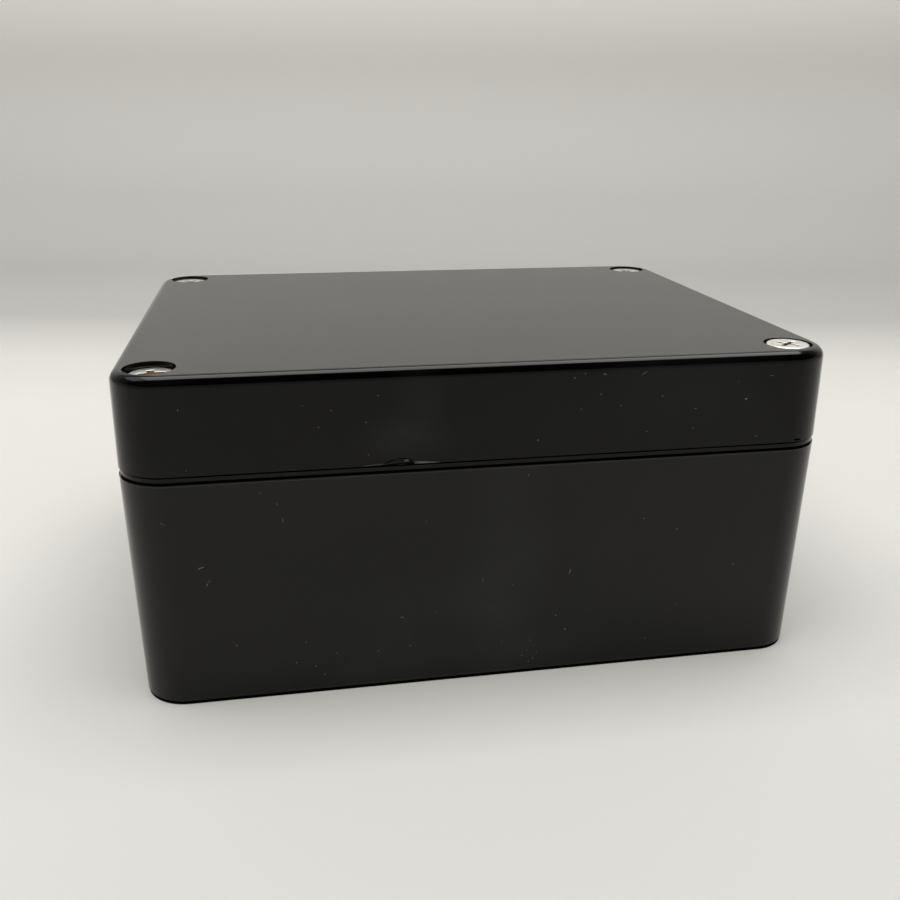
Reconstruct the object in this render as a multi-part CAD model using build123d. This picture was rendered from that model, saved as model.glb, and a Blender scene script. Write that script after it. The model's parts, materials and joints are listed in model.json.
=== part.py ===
from build123d import *
import math
import os

os.makedirs("parts", exist_ok=True)

# All sizes are in millimetres and angles in degrees. The origin is the centre of the base's
# underside, +Z runs up to the lid and the long front wall faces -Y.

# Housing, outside: a shallow sealed box in two mouldings, each drafted away from the joint
body_length = 115.0
body_width = 90.0
base_height = 38.6
lid_height = 16.0
joint_gap = 0.4
corner_radius = 7.8
base_draft = 1.0
lid_draft = 0.7
foot_chamfer = 0.6
lid_top_edge_radius = 1.9
shadow_band_height = 0.75
shadow_band_depth = 0.22

# Housing, walls
base_wall = 3.0
floor_thickness = 3.0
lid_ceiling = 3.0
column_wall = 1.2

# How far a cutting block runs past what it cuts
cut_margin = 1.0

# Seal: a tongue on the base's rim closes a grooved lid with a rubber gasket in the groove
tongue_width = 1.2
tongue_height = 1.4
groove_width = 1.6
groove_depth = 2.6
groove_inner_lip = 1.1
gasket_side_clearance = 0.05
seal_bend_chamfer = 2.0

# Lid screws: M4 cheese heads, captive in the lid by a nylon washer on each shank
screw_inset_x = 6.4
screw_inset_y = 6.5
screw_diameter = 4.0
screw_length = 20.0
screw_head_diameter = 7.0
screw_head_height = 2.6
head_side_clearance = 0.4
well_depth = 3.9
seat_thickness = 2.5
seat_hole_clearance = 0.25
thread_clearance = 0.05

# Cross recess of a screw head, as shares of the head it is pressed into
recess_span_share = 0.62
recess_arm_share = 0.16
recess_depth_share = 0.65

# How far each lid screw stands proud of its seat, and how its recess is turned
screw_raise = {"front_left": 0.4, "front_right": 1.25, "rear_left": 0.75, "rear_right": 0.85}
screw_turn = {"front_left": 12.0, "front_right": 38.0, "rear_left": 50.0, "rear_right": 25.0}

# Nylon retaining washers, hexagonal so that they can't turn in the pockets they travel in
washer_across_flats = 6.6
washer_thickness = 1.0
pocket_diameter = 7.8
washer_floor_clearance = 0.1

# Brass threaded inserts, hexagonal, in the base's corner columns
insert_across_flats = 5.6
insert_length = 6.0
insert_sink = 0.2
insert_fit_clearance = 0.02
tip_room = 3.5

# Wall fixing: a stepped channel beside each lid screw, outside the seal
channel_diameter = 7.5
channel_inset_y = 15.3
channel_floor = 6.0
wall_hole_diameter = 4.3

# Board guides: pairs of ribs inside the long walls of the base
guide_pairs = 3
guide_pitch = 26.0
guide_slot = 2.0
guide_rib_width = 1.2
guide_rib_depth = 1.6
guide_top_margin = 5.0

# Two bosses on the floor carry the terminal strip, each with a self-tapping screw
boss_diameter = 7.0
boss_height = 3.0
boss_bore_depth = 4.6
small_screw_diameter = 3.0
small_screw_clearance = 0.05
small_head_diameter = 5.0
small_head_height = 2.0
strip_screw_reach = 4.0
strip_screw_clearance = 0.2

# Terminal strip: poles in a row, each with a brass clamp tube and two clamp screws
pole_count = 3
pole_pitch = 13.0
pole_width = 7.4
pole_height = 10.5
pole_end_cover = 1.5
web_length = 12.0
web_height = 7.0
tower_width = 6.4
tower_height = 17.5
shaft_width = 3.8
tube_width = 5.0
tube_height = 5.6
tube_length = 17.0
tube_side_wall = 0.8
tube_floor = 0.8
tube_tapped_wall = 1.5
tube_base_height = 2.8
tube_fit_clearance = 0.05
clamp_end_margin = 3.5
clamp_screw_length = 9.0
clamp_slot_width = 0.8
clamp_slot_depth = 0.9
clamp_lift = 0.3

# A nick that the lid's front wall took above its band when it was last prised open
nick_left = -18.9
nick_width = 11.4
nick_height = 1.1
nick_depth = 0.38
nick_outline = ((0.26, 0.91), (0.44, 1.0), (0.49, 0.59), (0.89, 0.14))

# Places that follow from the sizes above
lid_bottom = base_height + joint_gap
lid_top = lid_bottom + lid_height
seat_z = lid_top - well_depth
pocket_top = seat_z - seat_thickness
screw_x = body_length / 2 - screw_inset_x
screw_y = body_width / 2 - screw_inset_y
channel_y = body_width / 2 - channel_inset_y
well_diameter = screw_head_diameter + 2 * head_side_clearance
seal_inset = base_wall - tongue_width / 2
seal_x = body_length / 2 - seal_inset
seal_y = body_width / 2 - seal_inset
seal_notch_x = screw_x - max(well_diameter, pocket_diameter) / 2 - column_wall - groove_width / 2
seal_notch_y = channel_y - max(pocket_diameter, channel_diameter) / 2 - column_wall - groove_width / 2
cavity_face_y = seal_y - tongue_width / 2
insert_top = base_height - insert_sink
strip_bottom = floor_thickness + boss_height
strip_half_length = (pole_count - 1) * pole_pitch / 2
strip_screw_x = strip_half_length - pole_pitch / 2
pole_length = tube_length + 2 * pole_end_cover
clamp_y = tube_length / 2 - clamp_end_margin
tower_length = 2 * clamp_y + tower_width
tube_low = strip_bottom + tube_base_height
tube_top = tube_low + tube_height
clamp_tip = tube_top - tube_tapped_wall + clamp_lift

corners = {
    "front_left": (-1, -1),
    "front_right": (1, -1),
    "rear_left": (-1, 1),
    "rear_right": (1, 1),
}


def cylinder(diameter, low, high, x=0.0, y=0.0):
    """A round bar along Z between two heights."""
    bar = Cylinder(diameter / 2, high - low, align=(Align.CENTER, Align.CENTER, Align.MIN))
    return Pos(x, y, low) * bar


def block(length, width, low, high, x=0.0, y=0.0):
    """A square-edged block between two heights."""
    return Pos(x, y, low) * Box(length, width, high - low, align=(Align.CENTER, Align.CENTER, Align.MIN))


def edges_at(solid, height):
    """The edges of a solid that lie in one level plane."""
    return solid.edges().filter_by_position(Axis.Z, height - 0.001, height + 0.001)


def seal_area(grow):
    """The area inside the seal's centre line, moved evenly outwards by grow. It runs along the
    walls and steps in round each corner column, so that screws and channels stay outside it."""
    area = Rectangle(2 * seal_x, 2 * seal_y)
    notch_length = seal_x - seal_notch_x
    notch_width = seal_y - seal_notch_y
    for side_x, side_y in corners.values():
        notch_centre = Pos(side_x * (seal_x - notch_length / 2), side_y * (seal_y - notch_width / 2))
        area -= notch_centre * Rectangle(notch_length, notch_width)
    area = chamfer(area.vertices(), seal_bend_chamfer)
    return offset(area, amount=grow, kind=Kind.INTERSECTION) if grow else area


def seal_prism(grow, low, high):
    """The seal's area as an upright prism between two heights."""
    return extrude(Pos(0, 0, low) * seal_area(grow), amount=high - low)


def hexagon_bar(across_flats, low, high, x=0.0, y=0.0):
    """A six-sided bar along Z between two heights."""
    section = RegularPolygon(across_flats / 2, 6, major_radius=False)
    return extrude(Pos(x, y, low) * section, amount=high - low)


def cross_recess(head_diameter, head_height, head_top):
    """The cross-shaped driver recess of a screw head."""
    span = head_diameter * recess_span_share
    arm = head_diameter * recess_arm_share
    floor = head_top - head_height * recess_depth_share
    return block(span, arm, floor, head_top) + block(arm, span, floor, head_top)


def housing_shell(height, draft):
    """A rounded block that is full size at z = 0 and drafts inwards as it rises."""
    return extrude(RectangleRounded(body_length, body_width, corner_radius), amount=height, taper=draft)


def box_base():
    """The base: walls, floor, four corner columns, the seal's tongue, bosses and board guides."""
    shell = Pos(0, 0, base_height) * (Rot(180, 0, 0) * housing_shell(base_height, base_draft))
    shell = chamfer(edges_at(shell, 0), foot_chamfer)
    tongue_top = base_height + tongue_height
    base = shell + seal_prism(tongue_width / 2, base_height, tongue_top)
    base -= seal_prism(-tongue_width / 2, floor_thickness, tongue_top)
    base += board_guides()
    for side in (-1, 1):
        base += cylinder(boss_diameter, floor_thickness, strip_bottom, side * strip_screw_x)
        base -= cylinder(
            small_screw_diameter + 2 * small_screw_clearance,
            strip_bottom - boss_bore_depth,
            strip_bottom,
            side * strip_screw_x,
        )
    for side_x, side_y in corners.values():
        base -= corner_bores(side_x * screw_x, side_y * screw_y, side_y * channel_y)
    return base


def corner_bores(x, insert_y, fixing_y):
    """The bores of one corner column: the insert's hole, deep enough for the screw's tip, and the
    stepped wall-fixing channel."""
    tip_end = seat_z - screw_length - tip_room
    hole_size = insert_across_flats + 2 * insert_fit_clearance
    bores = hexagon_bar(hole_size, tip_end, base_height, x, insert_y)
    bores += cylinder(channel_diameter, channel_floor, base_height, x, fixing_y)
    bores += cylinder(wall_hole_diameter, 0, channel_floor, x, fixing_y)
    return bores


def board_guides():
    """Pairs of upright ribs inside the front and rear walls, each pair a slot for a board."""
    guides = []
    rib_top = base_height - guide_top_margin
    rib_offset = (guide_slot + guide_rib_width) / 2
    rib_reach = guide_rib_depth + cut_margin
    for pair in range(guide_pairs):
        pair_x = (pair - (guide_pairs - 1) / 2) * guide_pitch
        for side in (-1, 1):
            rib_y = side * (cavity_face_y - guide_rib_depth + rib_reach / 2)
            for offset_x in (-rib_offset, rib_offset):
                rib_x = pair_x + offset_x
                guides.append(block(guide_rib_width, rib_reach, floor_thickness, rib_top, rib_x, rib_y))
    return guides


def lid():
    """The lid: drafted walls, rounded top edge, seal groove, four screw wells and their pockets."""
    shell = Pos(0, 0, lid_bottom) * housing_shell(lid_height, lid_draft)
    shell = fillet(edges_at(shell, lid_top), lid_top_edge_radius)
    cover = shell - seal_prism(-groove_width / 2 - groove_inner_lip, lid_bottom, lid_top - lid_ceiling)
    groove_top = lid_bottom + groove_depth
    cover -= seal_prism(groove_width / 2, lid_bottom, groove_top) - seal_prism(
        -groove_width / 2, lid_bottom, groove_top
    )
    cover -= shadow_band()
    for side_x, side_y in corners.values():
        x, y = side_x * screw_x, side_y * screw_y
        cover -= cylinder(well_diameter, seat_z, lid_top, x, y)
        cover -= cylinder(screw_diameter + 2 * seat_hole_clearance, pocket_top, seat_z, x, y)
        cover -= corner_pocket(x, side_y)
    return cover - edge_nick()


def corner_pocket(x, side_y):
    """The slot-shaped pocket over a corner column, for the washer and the wall-fixing channel."""
    middle_y = side_y * (screw_y + channel_y) / 2
    slot = SlotCenterToCenter(screw_y - channel_y, pocket_diameter, rotation=90)
    return extrude(Pos(x, middle_y, lid_bottom) * slot, amount=pocket_top - lid_bottom)


def shadow_band():
    """The narrow band that is set back round the lid's lower edge."""
    outside = block(
        body_length + corner_radius, body_width + corner_radius, lid_bottom, lid_bottom + shadow_band_height
    )
    inside = RectangleRounded(
        body_length - 2 * shadow_band_depth,
        body_width - 2 * shadow_band_depth,
        corner_radius - shadow_band_depth,
    )
    return outside - extrude(Pos(0, 0, lid_bottom) * inside, amount=shadow_band_height)


def edge_nick():
    """The torn nick in the lid's front wall. Its floor leans back, deepest at the ragged upper
    edge and running out to nothing at the band."""
    face_y = body_width / 2
    foot = lid_bottom + shadow_band_height
    ragged = [(nick_left + nick_width * u, foot + nick_height * v) for u, v in nick_outline]
    outline = Polyline((nick_left, foot), *ragged, (nick_left + nick_width, foot), close=True)
    torn = extrude(make_face(Plane.XZ.offset(face_y) * outline), amount=cut_margin, both=True)
    lean = math.degrees(math.atan2(nick_depth, nick_height))
    front = Box(body_length, nick_width, nick_width, align=(Align.CENTER, Align.MAX, Align.MIN))
    return torn & (Pos(0, -face_y, foot) * (Rot(-lean, 0, 0) * front))


def gasket():
    """The rubber ring in the lid's groove, from the groove's floor down to the tongue."""
    low = base_height + tongue_height
    high = lid_bottom + groove_depth
    half_width = groove_width / 2 - gasket_side_clearance
    return seal_prism(half_width, low, high) - seal_prism(-half_width, low, high)


def threaded_insert(x, y):
    """A hexagonal brass bush, tapped for a lid screw and moulded into its column."""
    low = insert_top - insert_length
    bush = hexagon_bar(insert_across_flats, low, insert_top, x, y)
    return bush - cylinder(screw_diameter + 2 * thread_clearance, low, insert_top, x, y)


def cross_head_screw(head_diameter, head_height, diameter, length, seat):
    """A cheese-head screw with a cross recess, its head on the given seat."""
    head_top = seat + head_height
    screw = cylinder(head_diameter, seat, head_top) + cylinder(diameter, seat - length, seat)
    return screw - cross_recess(head_diameter, head_height, head_top)


def lid_screw(x, y, raised, turn):
    """One of the M4 lid screws, standing proud of its seat by raised."""
    screw = cross_head_screw(
        screw_head_diameter, screw_head_height, screw_diameter, screw_length, seat_z + raised
    )
    return Pos(x, y) * (Rot(0, 0, turn) * screw)


def retaining_washer(x, y, raised):
    """The nylon washer that keeps a lid screw in its pocket and rises with it."""
    low = lid_bottom + washer_floor_clearance + raised
    high = low + washer_thickness
    washer = hexagon_bar(washer_across_flats, low, high, x, y)
    return washer - cylinder(screw_diameter + 2 * thread_clearance, low, high, x, y)


def pole_x(pole):
    """Where a pole of the terminal strip stands along X."""
    return pole * pole_pitch - strip_half_length


def terminal_strip():
    """The insulating strip: a stepped block for each pole, joined by low webs."""
    strip = block(2 * strip_half_length, web_length, strip_bottom, strip_bottom + web_height)
    for pole in range(pole_count):
        x = pole_x(pole)
        strip += block(pole_width, pole_length, strip_bottom, strip_bottom + pole_height, x)
        strip += block(tower_width, tower_length, strip_bottom, strip_bottom + tower_height, x)
    for pole in range(pole_count):
        strip -= pole_bores(pole_x(pole))
    hole = small_screw_diameter + 2 * strip_screw_clearance
    for side in (-1, 1):
        strip -= cylinder(hole, strip_bottom, strip_bottom + web_height, side * strip_screw_x)
    return strip


def pole_bores(x):
    """The passage of one pole's clamp tube, along Y, and the two screw shafts above it."""
    passage_width = tube_width + 2 * tube_fit_clearance
    bores = block(passage_width, pole_length, tube_low, tube_top + 2 * tube_fit_clearance, x)
    for side in (-1, 1):
        shaft_top = strip_bottom + tower_height
        bores += block(shaft_width, shaft_width, tube_top, shaft_top, x, side * clamp_y)
    return bores


def clamp_tube(x):
    """A brass tube that takes one wire from each side, tapped through its top for two screws."""
    tube = block(tube_width, tube_length, tube_low, tube_top, x)
    opening_top = tube_top - tube_tapped_wall
    tube -= block(tube_width - 2 * tube_side_wall, tube_length, tube_low + tube_floor, opening_top, x)
    tapping = small_screw_diameter + 2 * small_screw_clearance
    for side in (-1, 1):
        tube -= cylinder(tapping, opening_top, tube_top, x, side * clamp_y)
    return tube


def clamp_screw(x, y):
    """A slotted clamp screw, backed off so that its tip is just above the tube's opening."""
    top = clamp_tip + clamp_screw_length
    screw = cylinder(small_screw_diameter, clamp_tip, top, x, y)
    slot_length = small_screw_diameter + cut_margin
    return screw - block(slot_length, clamp_slot_width, top - clamp_slot_depth, top, x, y)


def pieces():
    """Every separate piece of the box, by the name of its node."""
    made = {"box_base": box_base(), "lid": lid(), "gasket": gasket()}
    for corner, (side_x, side_y) in corners.items():
        x, y = side_x * screw_x, side_y * screw_y
        raised = screw_raise[corner]
        made[f"insert_{corner}"] = threaded_insert(x, y)
        made[f"lid_screw_{corner}"] = lid_screw(x, y, raised, screw_turn[corner])
        made[f"retaining_washer_{corner}"] = retaining_washer(x, y, raised)
    made["terminal_strip"] = terminal_strip()
    strip_seat = strip_bottom + web_height
    strip_screw = cross_head_screw(
        small_head_diameter,
        small_head_height,
        small_screw_diameter,
        web_height + strip_screw_reach,
        strip_seat,
    )
    for name, side in (("left", -1), ("right", 1)):
        made[f"strip_screw_{name}"] = Pos(side * strip_screw_x, 0) * strip_screw
    for pole in range(pole_count):
        made[f"clamp_tube_{pole + 1}"] = clamp_tube(pole_x(pole))
        for name, side in (("front", -1), ("rear", 1)):
            made[f"clamp_screw_{pole + 1}_{name}"] = clamp_screw(pole_x(pole), side * clamp_y)
    return made


for node, shape in pieces().items():
    export_step(shape, f"parts/{node}.step")
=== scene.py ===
import json
import math
import random

import bmesh
import bpy
from mathutils import Matrix, Vector

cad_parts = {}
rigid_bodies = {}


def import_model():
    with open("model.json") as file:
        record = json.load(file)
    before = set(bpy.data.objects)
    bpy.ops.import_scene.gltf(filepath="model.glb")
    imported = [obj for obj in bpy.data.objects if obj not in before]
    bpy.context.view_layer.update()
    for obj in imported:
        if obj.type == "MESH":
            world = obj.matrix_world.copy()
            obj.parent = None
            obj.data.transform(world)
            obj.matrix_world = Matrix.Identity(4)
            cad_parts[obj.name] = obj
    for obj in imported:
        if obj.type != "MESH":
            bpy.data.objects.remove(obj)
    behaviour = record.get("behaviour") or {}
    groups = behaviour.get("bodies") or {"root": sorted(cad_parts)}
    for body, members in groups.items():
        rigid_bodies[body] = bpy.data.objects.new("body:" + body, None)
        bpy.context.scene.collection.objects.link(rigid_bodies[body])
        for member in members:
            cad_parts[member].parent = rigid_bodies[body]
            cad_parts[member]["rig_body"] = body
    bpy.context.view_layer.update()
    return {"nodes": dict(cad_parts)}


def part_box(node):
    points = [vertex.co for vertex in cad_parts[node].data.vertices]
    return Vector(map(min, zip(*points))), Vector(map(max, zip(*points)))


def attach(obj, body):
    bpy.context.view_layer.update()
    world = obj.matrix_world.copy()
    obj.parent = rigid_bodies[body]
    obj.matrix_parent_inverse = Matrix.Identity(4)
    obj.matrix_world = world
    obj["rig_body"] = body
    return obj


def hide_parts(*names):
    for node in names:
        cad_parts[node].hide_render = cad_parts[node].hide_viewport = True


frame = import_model()


# Box base: the lower moulding of the box, injection-moulded in black ABS with drafted walls.
# The seal's tongue stands on its rim, and four hollow columns in its corners take the lid
# screws and the wall-fixing screws. Its edges are left slightly round by the mould.
MM = 0.001
base_rim = 38.6 * MM
base_draft = math.radians(1.0)


def welded(node):
    """The CAD node's mesh with its loose triangles merged and its flat faces made whole."""
    bm = bmesh.new()
    bm.from_mesh(frame["nodes"][node].data)
    bmesh.ops.remove_doubles(bm, verts=bm.verts, dist=2e-6)
    bmesh.ops.dissolve_limit(
        bm, angle_limit=math.radians(0.4), use_dissolve_boundaries=False, verts=bm.verts, edges=bm.edges
    )
    bmesh.ops.recalc_face_normals(bm, faces=bm.faces)
    return bm


def from_outline(point):
    """How far inside the box's full outline a point is, and the outline's outward direction there."""
    half_length, half_width, radius = 57.5 * MM, 45.0 * MM, 7.8 * MM
    side = Vector((math.copysign(1, point.x), math.copysign(1, point.y)))
    x, y = abs(point.x) - half_length + radius, abs(point.y) - half_width + radius
    if x > 0 and y > 0:
        away = Vector((x, y))
        return radius - away.length, Vector((away.x * side.x, away.y * side.y, 0)).normalized()
    if x > y:
        return radius - x, Vector((side.x, 0, 0))
    return radius - y, Vector((0, side.y, 0))


def rounded(bm, low, high, inside, width, segments=2, beyond=0.0, spare=None):
    """Rounds the sharp edges that lie between two heights and two distances inside the outline."""
    chosen = []
    for edge in bm.edges:
        if len(edge.link_faces) != 2 or edge.calc_face_angle(0) < math.radians(25):
            continue
        if spare and any(spare(v.co) for v in edge.verts):
            continue
        if all(low <= v.co.z <= high and beyond <= from_outline(v.co)[0] <= inside for v in edge.verts):
            chosen.append(edge)
    bmesh.ops.bevel(
        bm, geom=chosen, offset=width, offset_type="OFFSET", segments=segments, profile=0.5, affect="EDGES",
        clamp_overlap=True, material=-1,
    )


def shade_evenly(mesh, skin=None):
    """Curves shade smooth and flats stay flat: a face's corner follows the large face beside it."""
    around = [[] for _ in mesh.vertices]
    for face in mesh.polygons:
        face.use_smooth = True
        for v in face.vertices:
            around[v].append(face)
    normals = []
    for face in mesh.polygons:
        for v in face.vertices:
            exact = skin(mesh.vertices[v].co, face.normal) if skin else None
            if not exact:
                near = [f for f in around[v] if f.normal.dot(face.normal) > 0.64]
                largest = max(near, key=lambda f: f.area)
                exact = largest.normal.copy()
                if largest.area < 8 * face.area:
                    exact = sum((f.normal * f.area for f in near), Vector()).normalized()
            normals.append(exact)
    mesh.normals_split_custom_set(normals)


def dressed(bm, name, node, skin=None):
    """A smooth-shaded piece from a mesh, which stands for a CAD node and moves with it."""
    mesh = bpy.data.meshes.new(name)
    bm.to_mesh(mesh)
    bm.free()
    shade_evenly(mesh, skin)
    piece = bpy.data.objects.new(name, mesh)
    bpy.context.scene.collection.objects.link(piece)
    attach(piece, frame["nodes"][node]["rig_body"])
    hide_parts(node)
    return piece


def finish_nodes(name):
    """A new material, down to a shader, an output and the piece's own coordinates."""
    material = bpy.data.materials.new(name)
    material.use_nodes = True
    tree = material.node_tree
    tree.nodes.clear()
    out = tree.nodes.new("ShaderNodeOutputMaterial")
    shader = tree.nodes.new("ShaderNodeBsdfPrincipled")
    tree.links.new(shader.outputs["BSDF"], out.inputs["Surface"])
    place = tree.nodes.new("ShaderNodeTexCoord").outputs["Object"]
    return material, tree, shader, place


def grain(tree, place, scale, detail=4.0, roughness=0.5, stretch=(1, 1, 1), seed=0.0):
    """A noise pattern fixed to the piece, from 0 to 1."""
    mapping = tree.nodes.new("ShaderNodeMapping")
    mapping.inputs["Scale"].default_value = stretch
    mapping.inputs["Location"].default_value = (seed, seed * 0.7, -seed * 0.4)
    tree.links.new(place, mapping.inputs["Vector"])
    noise = tree.nodes.new("ShaderNodeTexNoise")
    noise.inputs["Scale"].default_value = scale
    noise.inputs["Detail"].default_value = detail
    noise.inputs["Roughness"].default_value = roughness
    tree.links.new(mapping.outputs["Vector"], noise.inputs["Vector"])
    return noise.outputs["Fac"]


def spread(tree, value, low, high, to_low, to_high):
    """A value stretched from one range to another and held within it."""
    node = tree.nodes.new("ShaderNodeMapRange")
    for socket, number in zip(("From Min", "From Max", "To Min", "To Max"), (low, high, to_low, to_high)):
        node.inputs[socket].default_value = number
    tree.links.new(value, node.inputs["Value"])
    return node.outputs["Result"]


def combined(tree, operation, first, second):
    """One arithmetic step on two values, either of which may be a plain number."""
    node = tree.nodes.new("ShaderNodeMath")
    node.operation = operation
    for socket, value in zip(node.inputs, (first, second)):
        if isinstance(value, (int, float)):
            socket.default_value = value
        else:
            tree.links.new(value, socket)
    return node.outputs["Value"]


def blended(tree, share, first, second):
    """One colour going over into another by a share."""
    mix = tree.nodes.new("ShaderNodeMix")
    mix.data_type = "RGBA"
    tree.links.new(share, mix.inputs[0])
    for socket, colour in ((mix.inputs[6], first), (mix.inputs[7], second)):
        if isinstance(colour, tuple):
            socket.default_value = (*colour, 1.0)
        else:
            tree.links.new(colour, socket)
    return mix.outputs[2]


def bumped(tree, shader, heights):
    """Chains (height, strength, distance) bumps into a shader's normal."""
    last = None
    for height, strength, distance in heights:
        bump = tree.nodes.new("ShaderNodeBump")
        bump.inputs["Strength"].default_value = strength
        bump.inputs["Distance"].default_value = distance
        tree.links.new(height, bump.inputs["Height"])
        if last:
            tree.links.new(last, bump.inputs["Normal"])
        last = bump.outputs["Normal"]
    tree.links.new(last, shader.inputs["Normal"])


def soft_spot(tree, place, centre, reach):
    """A patch that fades from 1 at its centre to 0 at its reach, in metres along each axis."""
    mapping = tree.nodes.new("ShaderNodeMapping")
    mapping.inputs["Location"].default_value = [-c / r for c, r in zip(centre, reach)]
    mapping.inputs["Scale"].default_value = [1 / r for r in reach]
    tree.links.new(place, mapping.inputs["Vector"])
    length = tree.nodes.new("ShaderNodeVectorMath")
    length.operation = "LENGTH"
    tree.links.new(mapping.outputs["Vector"], length.inputs[0])
    return spread(tree, length.outputs["Value"], 0.2, 1.0, 1.0, 0.0)


def black_abs(name, colour, haze_and_highlight, hazes_and_highlights, roughness, ior):
    """Black moulded ABS: glossy, slightly uneven, with a fine grain, a faint dry haze in patches, and any
    painted highlight bands that are asked for.

    Each haze or painted highlight is (centre, reach, strength), in millimetres. Roughness is its least and
    its most."""
    material, tree, shader, place = finish_nodes(name)
    handled = grain(tree, place, 26.0, detail=4.0, roughness=0.6, seed=3.1)
    share = spread(tree, handled, 0.5, 0.8, 0.0, 0.3)
    for centre, reach, strength in hazes_and_highlights:
        patch = soft_spot(tree, place, [c * MM for c in centre], [r * MM for r in reach])
        mottled = spread(tree, grain(tree, place, 160.0, detail=3.0, seed=centre[0]), 0.3, 0.7, 0.5, 1.0)
        film_and_highlight = combined(tree, "MULTIPLY", combined(tree, "MULTIPLY", patch, mottled), strength)
        share = combined(tree, "ADD", share, film_and_highlight)
    tree.links.new(blended(tree, share, colour, haze_and_highlight), shader.inputs["Base Color"])
    rubbed = grain(tree, place, 70.0, detail=5.0, roughness=0.6, seed=7.7)
    tree.links.new(spread(tree, rubbed, 0.3, 0.75, *roughness), shader.inputs["Roughness"])
    shader.inputs["IOR"].default_value = ior
    fine_grain = grain(tree, place, 4200.0, detail=2.0)
    slow_waves = grain(tree, place, 55.0, detail=2.0, seed=1.3)
    bumped(tree, shader, [(fine_grain, 0.05, 0.00002), (slow_waves, 0.025, 0.0004)])
    return material


def painted_shade_black(name, deepest, palest):
    """A black that gives back next to no light: painted shade, for the shade under the foot and the shadow
    lines round the nick.
    """
    material, tree, shader, place = finish_nodes(name)
    mottle = grain(tree, place, 900.0)
    colour = blended(tree, mottle, (deepest,) * 3, (palest,) * 3)
    tree.links.new(colour, shader.inputs["Base Color"])
    shader.inputs["Roughness"].default_value = 0.9
    shader.inputs["Specular IOR Level"].default_value = 0.0
    return material


def base_skin(point, facing):
    """The drafted wall's exact direction, for a face corner that lies on it."""
    inside, outward = from_outline(point)
    exact = Vector((*(outward.xy * math.cos(base_draft)), -math.sin(base_draft)))
    return exact if inside < 1.0 * MM and facing.dot(exact) > 0.97 else None


lowered_rim = 38.46 * MM
foot_loop, raised_foot_loop, foot_spread = 0.6 * MM, 0.665 * MM, 0.46 * MM
bm = welded("box_base")
for v in bm.verts:
    inside, outward = from_outline(v.co)
    if abs(v.co.z - base_rim) < 0.02 * MM and inside < 0.1 * MM:
        v.co.z = lowered_rim
    elif abs(v.co.z - foot_loop) < 0.05 * MM and inside < 1.0 * MM:
        v.co.z = raised_foot_loop
    elif v.co.z < 0.01 * MM and inside < 2.0 * MM:
        v.co += outward * foot_spread
rounded(bm, 38.3 * MM, 38.5 * MM, 0.3 * MM, 0.12 * MM)
box_base = dressed(bm, "base_moulding", "box_base", base_skin)
base_abs = black_abs(
    "base_abs", (0.0012, 0.0012, 0.0012), (0.018, 0.0185, 0.019),
    [
        # Painted highlights: the last two entries are not haze but thin pale bands, one along the top edge
        # of the rim under the joint and one just above the foot.
        ((2.5, -45, 17), (9, 12, 30), 0.35), ((8, -45, 4), (14, 12, 6), 0.4),
        ((-22, -45, 5), (24, 12, 7), 0.3), ((0, 0, 38.32), (200, 200, 0.2), 1.2),
        ((0, 0, 0.85), (200, 200, 0.25), 0.4),
    ],
    roughness=(0.12, 0.18), ior=1.345,
)
# Painted shade: the chamfer under the foot gets a dull near-black that gives back next to no light,
# standing in for the shade under the box's edge.
foot_painted_shade = painted_shade_black("foot_painted_shade", 0.0004, 0.002)
for face in box_base.data.polygons:
    if -0.9 < face.normal.z < -0.1 and face.center.z < 0.5 * MM:
        face.material_index = 1
box_base.data.materials.append(base_abs)
box_base.data.materials.append(foot_painted_shade)


# Lid: the upper moulding, of the same black ABS, with a rounded top edge and four stepped wells for the
# screws. A narrow band is set back round its lower edge with a fine groove over it, and the front wall was
# nicked there when the lid was last prised open. The nick's curled lip is coloured pale, a painted
# highlight for the light it catches.
lid_rim, band_top, lid_top = 39.0 * MM, 39.75 * MM, 55.0 * MM
lid_draft = math.radians(0.7)


def in_nick(point):
    """Whether a point is on the torn edge in the front wall."""
    return -19.6 * MM < point.x < -6.8 * MM and point.y < -44.2 * MM and point.z > 39.7 * MM


def on_band(face):
    """Whether a face is part of the narrow band round the lid's lower edge."""
    return abs(face.normal.z) < 0.3 and all(
        38.9 * MM < v.co.z < 39.8 * MM and 0.1 * MM < from_outline(v.co)[0] < 0.4 * MM for v in face.verts
    )


bm = welded("lid")
band = [f for f in bm.faces if on_band(f)]
band_parts = list(dict.fromkeys(part for f in band for part in (*f.verts, *f.edges))) + band
bmesh.ops.bisect_plane(bm, geom=band_parts, dist=1e-7, plane_co=(0, 0, 39.51 * MM), plane_no=(0, 0, 1))
groove_lift, groove_depth, lowered_rim = 0.08 * MM, 0.24 * MM, 38.85 * MM
for v in bm.verts:
    inside, outward = from_outline(v.co)
    if abs(v.co.z - band_top) < 0.02 * MM and inside < 0.4 * MM:
        v.co.z += groove_lift
        if inside > 0.15 * MM and not in_nick(v.co):
            v.co -= outward * groove_depth
    elif abs(v.co.z - lid_rim) < 0.02 * MM and inside < 0.4 * MM:
        v.co.z = lowered_rim
rounded(bm, 38.7 * MM, 38.9 * MM, 0.3 * MM, 0.07 * MM)
worn_well = Vector((-51.1 * MM, -38.5 * MM, lid_top))
for v in bm.verts:
    away = v.co - worn_well
    if abs(away.z) < 0.01 * MM and away.xy.length < 4.3 * MM:
        v.co.x -= 0.25 * MM
        v.co.y -= (0.1 + 0.25 * max(0, -away.y / away.xy.length)) * MM
rounded(bm, lid_top - 0.1 * MM, lid_top + 0.1 * MM, 40.0 * MM, 0.14 * MM, beyond=2.15 * MM)


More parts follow.
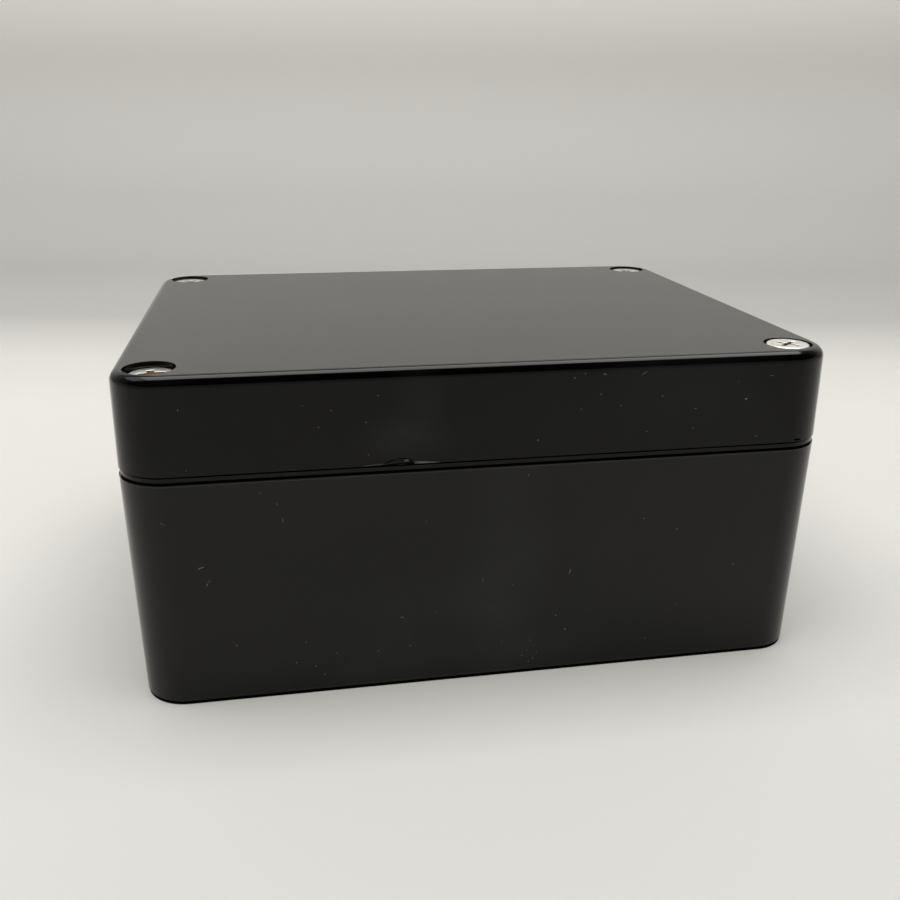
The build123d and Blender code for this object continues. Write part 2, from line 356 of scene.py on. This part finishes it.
def lid_skin(point, facing):
    """The exact direction of the lid's drafted wall, or of the rounding over it."""
    inside, outward = from_outline(point)
    rounding_start, rounding = 53.1, 1.9
    rise = min((max(point.z / MM - rounding_start, 0) / rounding) ** 1.3, 1.0)
    rise = max(rise, math.sin(lid_draft))
    exact = Vector((*(outward.xy * math.sqrt(1 - rise * rise)), rise))
    return exact if inside < 2.3 * MM and point.z > 38.7 * MM and facing.dot(exact) > 0.97 else None


lid = dressed(bm, "lid_moulding", "lid", lid_skin)
# The nick's outer faces take the pale painted highlight.
for face in lid.data.polygons:
    points = [lid.data.vertices[v].co for v in face.vertices]
    outermost = all(in_nick(point) and from_outline(point)[0] < 0.6 * MM for point in points)
    if outermost and face.normal.z > -0.9 and from_outline(face.center)[0] > 0.06 * MM:
        face.material_index = 1
lid_abs = black_abs(
    "lid_abs", (0.0008, 0.0008, 0.0008), (0.018, 0.019, 0.019),
    [
        ((-14, -45, 44), (9, 12, 4), 0.5), ((-12, -45, 50), (5, 12, 7), 0.3),
        ((20, -45, 47), (26, 12, 9), 0.15),
    ],
    roughness=(0.1, 0.15), ior=1.285,
)
# Painted highlight: the nick's curled lip is coloured pale in two soft patches, frayed by fibres, for the
# light it catches from above and behind.
nick_lip_highlight, tree, shader, place = finish_nodes("nick_lip_highlight")
fibres = grain(tree, place, 2400.0, detail=4.0, stretch=(1, 1, 2.5))
pale = combined(
    tree, "ADD",
    soft_spot(tree, place, (-10.4 * MM, -44.9 * MM, 40.1 * MM), (3.0 * MM, 3.0 * MM, 0.9 * MM)),
    soft_spot(tree, place, (-13.9 * MM, -44.9 * MM, 40.4 * MM), (0.55 * MM, 3.0 * MM, 0.3 * MM)),
)
frayed_highlight = combined(tree, "MULTIPLY", pale, spread(tree, fibres, 0.3, 0.6, 0.4, 1.0))
lip_highlight_share = spread(tree, frayed_highlight, 0.1, 0.6, 0.0, 1.0)
colour = blended(tree, lip_highlight_share, (0.0012, 0.0012, 0.0012), (0.15, 0.15, 0.145))
tree.links.new(colour, shader.inputs["Base Color"])
shader.inputs["Roughness"].default_value = 0.4
bumped(tree, shader, [(fibres, 0.5, 0.00006)])
lid.data.materials.append(lid_abs)
lid.data.materials.append(nick_lip_highlight)


# Marks on the mouldings: fine flecks of dust and short hair scratches with a raised, pale lip, and dark
# strokes of painted shadow for the thin shadow lines round the nick, with one more dark mark on a burr;
# prising the lid left the nick and the burr along its lower edge. The marks on the front wall have their
# own places, and fewer, fainter ones lie over the other walls.
def flecks(name, marks, node, proud=0.06 * MM):
    """A mesh of small marks, each (place, outward, length, width, turn)."""
    bm = bmesh.new()
    for place, outward, length, width, turn in marks:
        along = Vector((0, 0, 1)).cross(outward) if abs(outward.z) < 0.9 else Vector((1, 0, 0))
        along = Matrix.Rotation(math.radians(turn), 3, outward) @ along.normalized()
        across = outward.cross(along)
        basis = Matrix((along * length, across * width, outward * proud)).transposed().to_4x4()
        bmesh.ops.create_icosphere(bm, subdivisions=1, radius=0.5, matrix=Matrix.Translation(place) @ basis)
    bmesh.ops.recalc_face_normals(bm, faces=bm.faces)
    mesh = bpy.data.meshes.new(name)
    bm.to_mesh(mesh)
    bm.free()
    piece = bpy.data.objects.new(name, mesh)
    bpy.context.scene.collection.objects.link(piece)
    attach(piece, frame["nodes"][node]["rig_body"])
    return piece


def on_front(x, z, on_lid):
    """The place and outward direction on the front wall of the lid or the base."""
    lean = math.tan(lid_draft if on_lid else -base_draft)
    level = z - lid_rim / MM if on_lid else base_rim / MM - z
    place = Vector((x, -44.99 + abs(lean) * level, z)) * MM
    return place, Vector((0, -math.cos(math.atan(lean)), math.sin(math.atan(lean))))


def scattered(count, seed, low, high, on_lid):
    """Faint flecks over the other three walls, from a fixed seed."""
    pick = random.Random(seed)
    marks = []
    for _ in range(count):
        wall = pick.randrange(3)
        z = pick.uniform(low, high)
        inset = math.tan(lid_draft) * (z - lid_rim / MM)
        if not on_lid:
            inset = math.tan(base_draft) * (base_rim / MM - z)
        if wall == 0:
            place, outward = Vector((pick.uniform(-48, 48), 45.0 - inset, z)), Vector((0, 1, 0))
        else:
            side = 1 if wall == 1 else -1
            place, outward = Vector((side * (57.5 - inset), pick.uniform(-36, 36), z)), Vector((side, 0, 0))
        long = pick.random() < 0.25
        length = pick.uniform(0.5, 1.4) if long else pick.uniform(0.1, 0.17)
        width = pick.uniform(0.05, 0.08) if long else pick.uniform(0.09, 0.15)
        marks.append((place * MM, outward, length * MM, width * MM, pick.uniform(-60, 60)))
    return marks


# Each mark is (x, z, length, width, turn), in millimetres and degrees.
lid_marks = (
    (-47.1, 50.1, 0.18, 0.14, 0), (-29.3, 49.9, 0.17, 0.09, 10), (-19.2, 39.98, 3.4, 0.05, 3),
    (-25.1, 49.0, 0.15, 0.15, 0),
    (-27.1, 46.5, 0.15, 0.15, 0), (-20.0, 46.9, 0.15, 0.15, 0), (-18.1, 51.0, 0.15, 0.15, 0),
    (-19.7, 41.7, 0.14, 0.14, 0), (-46.7, 40.8, 0.13, 0.13, 0), (14.1, 53.0, 0.14, 0.14, 0),
    (17.2, 52.8, 0.65, 0.07, -10), (12.4, 52.4, 0.18, 0.16, 0), (23.7, 52.7, 1.4, 0.08, 35),
    (16.8, 49.6, 0.16, 0.16, 0), (27.0, 48.8, 0.17, 0.17, 0), (20.2, 47.6, 0.17, 0.2, 0),
    (13.7, 47.3, 0.15, 0.15, 0), (32.7, 46.5, 0.51, 0.1, 0), (24.8, 43.1, 0.17, 0.17, 0),
    (41.3, 47.7, 0.45, 0.16, 20), (45.3, 51.4, 1.04, 0.07, 0), (39.7, 50.6, 0.17, 0.12, 0),
    (32.6, 43.2, 0.17, 0.12, 0), (43.8, 41.3, 0.71, 0.06, -15), (6.9, 42.6, 0.26, 0.24, 0),
)
base_marks = (
    (-45.9, 24.6, 1.34, 0.08, 18), (-45.2, 21.6, 0.67, 0.08, 60), (-44.8, 22.2, 0.36, 0.08, 30),
    (-51.0, 32.5, 0.14, 0.14, 0), (-50.6, 32.2, 0.17, 0.1, 20), (-36.2, 36.5, 0.44, 0.07, 0),
    (-33.8, 34.5, 0.07, 0.6, 10), (-33.1, 31.8, 0.07, 1.06, 5), (-41.5, 10.3, 0.2, 0.19, 0),
    (-30.5, 9.8, 0.16, 0.16, 0), (-25.6, 7.2, 0.16, 0.13, 0), (-32.2, 6.1, 0.16, 0.16, 0),
    (-29.1, 5.1, 0.24, 0.13, 20), (-27.7, 3.4, 0.2, 0.15, 0), (-14.8, 12.9, 0.82, 0.07, -20),
    (-13.5, 7.4, 0.2, 0.13, 0), (-18.8, 6.9, 0.17, 0.13, 0), (-10.8, 30.0, 0.14, 0.14, 0),
    (25.6, 27.8, 0.23, 0.14, 0), (31.6, 25.4, 0.18, 0.21, 0), (-1.4, 18.6, 0.06, 1.18, 0),
    (3.7, 17.2, 0.17, 0.15, 0), (13.4, 19.0, 0.06, 1.39, -10), (11.4, 10.8, 0.18, 0.18, 0),
    (13.1, 7.9, 0.2, 0.18, 0), (32.9, 10.9, 0.19, 0.22, 0), (27.8, 4.6, 0.1, 0.37, -10),
    (5.6, 36.8, 0.15, 0.15, 0), (-9.1, 13.4, 0.15, 0.15, 0), (2.1, 6.5, 0.14, 0.14, 0),
    (7.1, 6.3, 0.14, 0.14, 0), (5.7, 3.5, 0.18, 0.14, 0), (7.7, 2.7, 0.2, 0.12, 0),
    (6.6, 4.4, 0.14, 0.14, 0), (8.3, 3.9, 0.14, 0.14, 0), (6.9, 2.2, 0.18, 0.14, 0),
    (42.6, 17.9, 0.17, 0.17, 0),
)
dust, tree, shader, place = finish_nodes("dust_fleck")
mottle = spread(tree, grain(tree, place, 300.0), 0.35, 0.65, 0.0, 1.0)
colour = blended(tree, mottle, (0.14, 0.14, 0.135), (0.36, 0.36, 0.35))
tree.links.new(colour, shader.inputs["Base Color"])
shader.inputs["Roughness"].default_value = 0.7
upward = Vector((0, 0, 1))
for name, node, marks, others in (
    ("lid_marks", "lid", lid_marks, scattered(50, 11, 41.0, 52.0, True)),
    ("base_marks", "box_base", base_marks, scattered(80, 12, 3.0, 37.0, False)),
):
    placed = [(*on_front(x, z, node == "lid"), l * MM, w * MM, t) for x, z, l, w, t in marks]
    if node == "lid":
        placed.append((Vector((32.6, -22.6, 54.98)) * MM, upward, 0.35 * MM, 0.3 * MM, 0))
    piece = flecks(name, placed + others, node)
    piece.data.materials.append(dust)

# Painted shadow: dark strokes along the nick's edges, where its overhang throws thin shadow lines, and one
# more dark mark on the burr at the right corner. Each stroke is (x, z, length, width, turn).
nick_shadow_strokes = (
    (-16.3, 40.45, 2.7, 0.18, 17.9), (-14.34, 40.8, 2.0, 0.24, -3.4), (-13.13, 40.32, 1.5, 0.2, -44.3),
    (-16.4, 39.88, 4.4, 0.3, 3.9), (-13.6, 39.98, 2.4, 0.32, -3.3), (-21.0, 39.74, 5.0, 0.2, 0.8),
)
placed = [(*on_front(x, z, True), l * MM, w * MM, t) for x, z, l, w, t in nick_shadow_strokes]
burr_place, burr_facing = Vector((51.3, -44.83, 40.17)) * MM, Vector((0.2, -0.98, 0)).normalized()
placed.append((burr_place, burr_facing, 1.6 * MM, 0.42 * MM, -3))
piece = flecks("lid_nick_shadow_strokes", placed, "lid", proud=0.08 * MM)
piece.data.materials.append(painted_shade_black("painted_shadow_stroke", 0.0005, 0.003))


# Gasket: a ring of black foamed rubber, laid in the lid's groove and pressed by the tongue.
seal_rubber, tree, shader, place = finish_nodes("seal_rubber")
cells = grain(tree, place, 2600.0, detail=3.0)
mottle = spread(tree, cells, 0.3, 0.7, 0.0, 1.0)
tree.links.new(blended(tree, mottle, (0.018,) * 3, (0.04,) * 3), shader.inputs["Base Color"])
shader.inputs["Roughness"].default_value = 0.85
bumped(tree, shader, [(cells, 0.5, 0.0001)])
bm = welded("gasket")
rounded(bm, 0, 1, 1, 0.3 * MM, segments=3)
gasket = dressed(bm, "gasket_ring", "gasket")
gasket.data.materials.append(seal_rubber)


# Threaded inserts: hexagonal brass bushes, pressed into the base's corner columns and tapped
# for the lid screws.
def turned_brass(name):
    """Turned brass with fine tool lines and a light tarnish."""
    material, tree, shader, place = finish_nodes(name)
    lines = grain(tree, place, 900.0, detail=3.0, stretch=(1, 1, 6))
    tarnish = grain(tree, place, 260.0, detail=4.0, seed=2.2)
    mottle = spread(tree, tarnish, 0.35, 0.7, 0.0, 1.0)
    colour = blended(tree, mottle, (0.72, 0.52, 0.22), (0.55, 0.38, 0.16))
    tree.links.new(colour, shader.inputs["Base Color"])
    shader.inputs["Metallic"].default_value = 1.0
    tree.links.new(spread(tree, lines, 0.3, 0.7, 0.22, 0.4), shader.inputs["Roughness"])
    bumped(tree, shader, [(lines, 0.15, 0.00003)])
    return material


corners = ("front_left", "front_right", "rear_left", "rear_right")
insert_brass = turned_brass("insert_brass")
for corner in corners:
    bm = welded(f"insert_{corner}")
    rounded(bm, 0, 1, 1, 0.2 * MM)
    insert = dressed(bm, f"brass_insert_{corner}", f"insert_{corner}")
    insert.data.materials.append(insert_brass)


# Lid screws: stainless M4 cheese heads with a cross recess. Years of drivers have worn the
# heads, and rust and dirt fill the recesses, most of all in the deep front left one.
def threaded(name, node, crest, root, pitch, plain, edge, deep, turn, narrow, finishes):
    """A cross-head screw: the CAD head with a worn edge and a tapered recess, and a real thread.

    The shank shrinks to the thread's root below a plain length under the head. The recess is
    turned to its angle, its arms are narrowed, and its floor goes down by the given depth."""
    low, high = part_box(node)
    axis = (low + high) / 2
    bm = welded(node)
    seat = min(v.co.z for v in bm.verts if (v.co - axis).xy.length > crest * 1.2)
    across = Matrix.Rotation(math.radians(turn), 2)
    for v in bm.verts:
        away = Vector((v.co.x - axis.x, v.co.y - axis.y))
        if v.co.z < seat - 0.1 * MM or (v.co.z < seat + 0.1 * MM and away.length < crest * 1.05):
            away *= root / crest
        elif abs(v.co.z - seat) < 0.05 * MM:
            v.co.z += 0.03 * MM
        elif away.length < crest * 1.3:
            arm = across.transposed() @ away
            long, short = (0, 1) if abs(arm.x) > abs(arm.y) else (1, 0)
            at_arm_end = abs(abs(arm.x) - abs(arm.y)) > 0.05 * MM
            arm[long] *= 0.9 if at_arm_end else narrow
            arm[short] *= narrow
            if v.co.z < high.z - 0.1 * MM:
                arm *= 0.6
                v.co.z -= deep
            away = across @ arm
        v.co.x, v.co.y = axis.x + away.x, axis.y + away.y
    on_top = [e for e in bm.edges if all(abs(v.co.z - high.z) < 1e-6 for v in e.verts)]
    rim = [e for e in on_top if all((v.co - axis).xy.length > crest * 1.6 for v in e.verts)]
    mouth = [
        e for e in on_top
        if all((v.co - axis).xy.length < crest * 1.5 for v in e.verts)
        and e.calc_face_angle(0) > math.radians(30)
    ]
    tip = [
        e for e in bm.edges
        if all(abs(v.co.z - low.z) < 1e-6 for v in e.verts) and e.calc_face_angle(0) > math.radians(30)
    ]
    for face in bm.faces:
        middle = face.calc_center_median()
        if (middle - axis).xy.length < crest * 1.3 and seat < middle.z < high.z - 1e-6:
            face.material_index = 1
    for edges, width, segments in ((rim, edge, 4), (mouth, 0.09 * MM, 2), (tip, 0.5 * MM, 1)):
        bmesh.ops.bevel(
            bm, geom=edges, offset=width, offset_type="OFFSET", segments=segments, profile=0.5,
            affect="EDGES", clamp_overlap=True, material=0,
        )
    turns = math.floor((seat - plain - low.z - 0.9 * MM) / pitch)
    start = low.z + 0.6 * MM
    sunk = root - 0.05 * MM
    section = [
        bm.verts.new((axis.x + r, axis.y, start + z))
        for r, z in ((sunk, 0), (crest, 0.45 * pitch), (crest, 0.55 * pitch), (sunk, pitch * 0.96))
    ]
    steps_per_turn = 20
    bmesh.ops.spin(
        bm, geom=[bm.faces.new(section)], cent=(axis.x, axis.y, 0), axis=(0, 0, 1),
        dvec=(0, 0, pitch / steps_per_turn), angle=math.tau * turns, steps=steps_per_turn * turns,
        use_merge=False,
    )
    bmesh.ops.recalc_face_normals(bm, faces=bm.faces)
    piece = dressed(bm, name, node)
    for finish in finishes:
        piece.data.materials.append(finish)


def steel(name, bright, stain, stained, low, high):
    """Bright steel with fine turning marks and patches of stain."""
    material, tree, shader, place = finish_nodes(name)
    brushed = grain(tree, place, 1500.0, detail=4.0)
    patch = grain(tree, place, 900.0, detail=5.0, roughness=0.65, seed=4.4)
    share = spread(tree, patch, 0.62 - 0.3 * stained, 0.9 - 0.3 * stained, 0.0, 1.0)
    tree.links.new(blended(tree, share, bright, stain), shader.inputs["Base Color"])
    shader.inputs["Metallic"].default_value = 1.0
    tree.links.new(spread(tree, brushed, 0.3, 0.7, low, high), shader.inputs["Roughness"])
    bumped(tree, shader, [(brushed, 0.25, 0.00003), (patch, 0.15, 0.00005)])
    return material


screw_steel = steel("screw_steel", (0.66, 0.65, 0.62), (0.38, 0.35, 0.31), 0.25, 0.26, 0.42)
recess_finishes = {
    "front_left": steel("rusted_recess", (0.46, 0.32, 0.2), (0.12, 0.05, 0.02), 0.6, 0.4, 0.6),
    "front_right": steel("dirty_recess", (0.4, 0.36, 0.31), (0.05, 0.03, 0.018), 0.85, 0.4, 0.6),
    "rear_left": steel("grey_recess_left", (0.34, 0.31, 0.28), (0.14, 0.1, 0.07), 0.4, 0.35, 0.5),
    "rear_right": steel("grey_recess_right", (0.34, 0.31, 0.28), (0.14, 0.1, 0.07), 0.4, 0.35, 0.5),
}
screw_turns = {"front_left": 12.0, "front_right": 38.0, "rear_left": 50.0, "rear_right": 25.0}
for corner in corners:
    threaded(
        f"m4_screw_{corner}", f"lid_screw_{corner}", crest=2.0 * MM, root=1.62 * MM, pitch=0.7 * MM,
        plain=5.0 * MM, edge=0.32 * MM, deep=0.1 * MM, turn=screw_turns[corner],
        narrow=1.0 if corner == "front_left" else 0.65,
        finishes=(screw_steel, recess_finishes[corner]),
    )


# Retaining washers: hexagonal nylon washers on the screws' shanks, which keep the screws in
# the lid and can't turn in their pockets.
nylon, tree, shader, place = finish_nodes("nylon")
cloud = grain(tree, place, 700.0, detail=3.0)
mottle = spread(tree, cloud, 0.3, 0.7, 0.0, 1.0)
colour = blended(tree, mottle, (0.78, 0.76, 0.7), (0.84, 0.82, 0.77))
tree.links.new(colour, shader.inputs["Base Color"])
shader.inputs["Roughness"].default_value = 0.45
bumped(tree, shader, [(cloud, 0.1, 0.00005)])
for corner in corners:
    bm = welded(f"retaining_washer_{corner}")
    rounded(bm, 0, 1, 1, 0.12 * MM)
    washer = dressed(bm, f"nylon_washer_{corner}", f"retaining_washer_{corner}")
    washer.data.materials.append(nylon)


# Terminal strip: three poles moulded in one piece of off-white polyamide, on two bosses of
# the base's floor, held by two self-tapping screws.
strip_polyamide, tree, shader, place = finish_nodes("strip_polyamide")
cloud = grain(tree, place, 300.0, detail=3.0)
mottle = spread(tree, cloud, 0.3, 0.7, 0.0, 1.0)
colour = blended(tree, mottle, (0.74, 0.73, 0.68), (0.8, 0.79, 0.75))
tree.links.new(colour, shader.inputs["Base Color"])
shader.inputs["Roughness"].default_value = 0.4
bumped(tree, shader, [(grain(tree, place, 3000.0, detail=2.0), 0.15, 0.00003)])
bm = welded("terminal_strip")
rounded(bm, 0, 1, 1, 0.3 * MM, segments=3)
strip = dressed(bm, "polyamide_strip", "terminal_strip")
strip.data.materials.append(strip_polyamide)

zinc = steel("zinc_steel", (0.64, 0.65, 0.66), (0.5, 0.5, 0.48), 0.1, 0.2, 0.36)
dark_zinc = steel("zinc_recess", (0.4, 0.41, 0.42), (0.25, 0.25, 0.24), 0.1, 0.3, 0.45)
for side in ("left", "right"):
    threaded(
        f"self_tapping_screw_{side}", f"strip_screw_{side}", crest=1.5 * MM, root=1.15 * MM,
        pitch=1.0 * MM, plain=2.0 * MM, edge=0.3 * MM, deep=0.05 * MM, turn=0.0, narrow=0.8,
        finishes=(zinc, dark_zinc),
    )


# Clamp tubes and their screws: each pole's brass tube joins the two wires that its slotted
# screws press down. The screws' zinc is that of the strip's own screws.
def tapping(point, middle):
    """Whether a point is on the edge of one of a tube's two tapped holes."""
    return math.hypot(point.x - middle, abs(point.y) - 5.0 * MM) < 1.65 * MM


tube_brass = turned_brass("tube_brass")
for pole in (1, 2, 3):
    bm = welded(f"clamp_tube_{pole}")
    low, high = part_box(f"clamp_tube_{pole}")
    rounded(bm, 0, 1, 1, 0.12 * MM, spare=lambda point: tapping(point, (low.x + high.x) / 2))
    tube = dressed(bm, f"brass_tube_{pole}", f"clamp_tube_{pole}")
    tube.data.materials.append(tube_brass)
    for end in ("front", "rear"):
        bm = welded(f"clamp_screw_{pole}_{end}")
        rounded(bm, 0, 1, 1, 0.12 * MM)
        screw = dressed(bm, f"slotted_screw_{pole}_{end}", f"clamp_screw_{pole}_{end}")
        screw.data.materials.append(zinc)


# Studio: a pale sheet of paper that rises in a curve behind the box, with painted shade in its tone from a
# hand's width behind it. One soft lamp overhead lights the room, another and its side glow are the ones
# that show in the gloss, and a low strip lifts the backdrop.
room_turn = 0.18


def sweep_paper():
    """The floor and its backdrop in one curved sheet."""
    bm = bmesh.new()
    reach, back, radius, top = 2.2, 0.5, 0.12, 0.62
    line = [(-1.6, 0.0), (back - radius, 0.0)]
    for step in range(1, 17):
        around = math.radians(90 * step / 16)
        line.append((back - radius + radius * math.sin(around), radius - radius * math.cos(around)))
    line.append((back, top))
    points = [bm.verts.new((-reach, y, z)) for y, z in line]
    edges = [bm.edges.new(pair) for pair in zip(points, points[1:])]
    moved = bmesh.ops.extrude_edge_only(bm, edges=edges)["geom"]
    far_side = [v for v in moved if isinstance(v, bmesh.types.BMVert)]
    bmesh.ops.translate(bm, verts=far_side, vec=(2 * reach, 0, 0))
    bmesh.ops.rotate(bm, verts=bm.verts, cent=(0, 0, 0), matrix=Matrix.Rotation(-room_turn, 3, "Z"))
    bmesh.ops.recalc_face_normals(bm, faces=bm.faces)
    for face in bm.faces:
        face.smooth = True
    mesh = bpy.data.meshes.new("sweep_paper")
    bm.to_mesh(mesh)
    bm.free()
    return mesh


paper, tree, shader, place = finish_nodes("paper")
along = tree.nodes.new("ShaderNodeVectorMath")
along.operation = "DOT_PRODUCT"
along.inputs[1].default_value = (math.sin(room_turn), math.cos(room_turn), 1.0)
tree.links.new(place, along.inputs[0])
tone = tree.nodes.new("ShaderNodeValToRGB")
tree.links.new(along.outputs["Value"], tone.inputs["Fac"])
# Painted shade: the tone falls from a hand's width behind the box, is darkest at the foot of the backdrop,
# and grows pale again higher up it.
paper_tones_and_shade = (
    (0.11, 0.665), (0.17, 0.605), (0.25, 0.41), (0.38, 0.385),
    (0.50, 0.45), (0.63, 0.63), (0.72, 0.9), (0.9, 0.9),
)
ramp = tone.color_ramp
while len(ramp.elements) < len(paper_tones_and_shade):
    ramp.elements.new(0.5)
for element, (position, _) in zip(ramp.elements, paper_tones_and_shade):
    element.position = position
for element, (_, level) in zip(ramp.elements, paper_tones_and_shade):
    element.color = (level, level * 0.98, level * 0.93, 1.0)
tree.links.new(tone.outputs["Color"], shader.inputs["Base Color"])
shader.inputs["Roughness"].default_value = 0.8
shader.inputs["Specular IOR Level"].default_value = 0.2
sweep = bpy.data.objects.new("sweep", sweep_paper())
bpy.context.scene.collection.objects.link(sweep)
sweep.data.materials.append(paper)

world = bpy.data.worlds.new("studio")
bpy.context.scene.world = world
world.use_nodes = True
tree = world.node_tree
backing = tree.nodes["Background"]
backing.inputs["Color"].default_value = (1.0, 0.985, 0.96, 1.0)
ray = tree.nodes.new("ShaderNodeLightPath")
toward = tree.nodes.new("ShaderNodeSeparateXYZ")
tree.links.new(tree.nodes.new("ShaderNodeTexCoord").outputs["Generated"], toward.inputs["Vector"])
around = spread(tree, toward.outputs["Y"], -0.6, 0.6, 0.36, 0.06)
mirrored = combined(
    tree, "MAXIMUM", spread(tree, toward.outputs["Y"], -0.3, 0.6, 0.0, 0.4),
    spread(tree, toward.outputs["Z"], 0.1, 0.18, 0.5, 0.0),
)
strength = around
for kind, other in (("Is Glossy Ray", mirrored), ("Is Camera Ray", 0.5)):
    step = combined(tree, "MULTIPLY", ray.outputs[kind], combined(tree, "SUBTRACT", other, strength))
    strength = combined(tree, "ADD", step, strength)
tree.links.new(strength, backing.inputs["Strength"])


def soft_lamp(name, place, aim, width, height, power):
    """An oblong area lamp, turned from its place towards its aim."""
    lamp = bpy.data.lights.new(name, "AREA")
    lamp.shape = "RECTANGLE"
    lamp.size = width
    lamp.size_y = height
    lamp.energy = power
    piece = bpy.data.objects.new(name, lamp)
    bpy.context.scene.collection.objects.link(piece)
    piece.location = place
    piece.rotation_euler = (Vector(aim) - Vector(place)).to_track_quat("-Z", "Y").to_euler()
    return piece


mirrored_lamp = soft_lamp("over_lamp", (0.12, 0.085, 0.9), (0.12, 0.085, 0.0), 1.05, 0.67, 13.2)
mirrored_lamp.visible_diffuse = False
side_glow = soft_lamp("side_glow", (-0.72, 0.085, 0.9), (-0.72, 0.085, 0.0), 0.6, 0.67, 3.0)
side_glow.visible_diffuse = False
room_lamp = soft_lamp("room_lamp", (-0.12, -0.05, 0.93), (-0.12, -0.05, 0.0), 1.4, 0.7, 10.8)
room_lamp.visible_glossy = False
soft_lamp("wall_lamp", (0.072, 0.394, 0.45), (0.089, 0.49, 0.2), 1.0, 0.05, 0.33)

focal_length, picture_width = 946.514, 900
camera_data = bpy.data.cameras.new("camera")
camera_data.sensor_width = 36.0
camera_data.lens = focal_length / picture_width * camera_data.sensor_width
camera_data.clip_start = 0.01
camera = bpy.data.objects.new("camera", camera_data)
bpy.context.scene.collection.objects.link(camera)
yaw, pitch, roll = 0.180909, 0.348177, 0.007192
forward = Vector((math.sin(yaw) * math.cos(pitch), math.cos(yaw) * math.cos(pitch), -math.sin(pitch)))
right = forward.cross(Vector((0, 0, 1))).normalized()
up = right.cross(forward)
picture_right = right * math.cos(roll) + up * math.sin(roll)
picture_up = up * math.cos(roll) - right * math.sin(roll)
turned = Matrix((picture_right, picture_up, -forward)).transposed()
camera.matrix_world = Matrix.Translation((-0.031833, -0.180091, 0.09162)) @ turned.to_4x4()
bpy.context.scene.camera = camera
bpy.context.scene.view_settings.view_transform = "Standard"
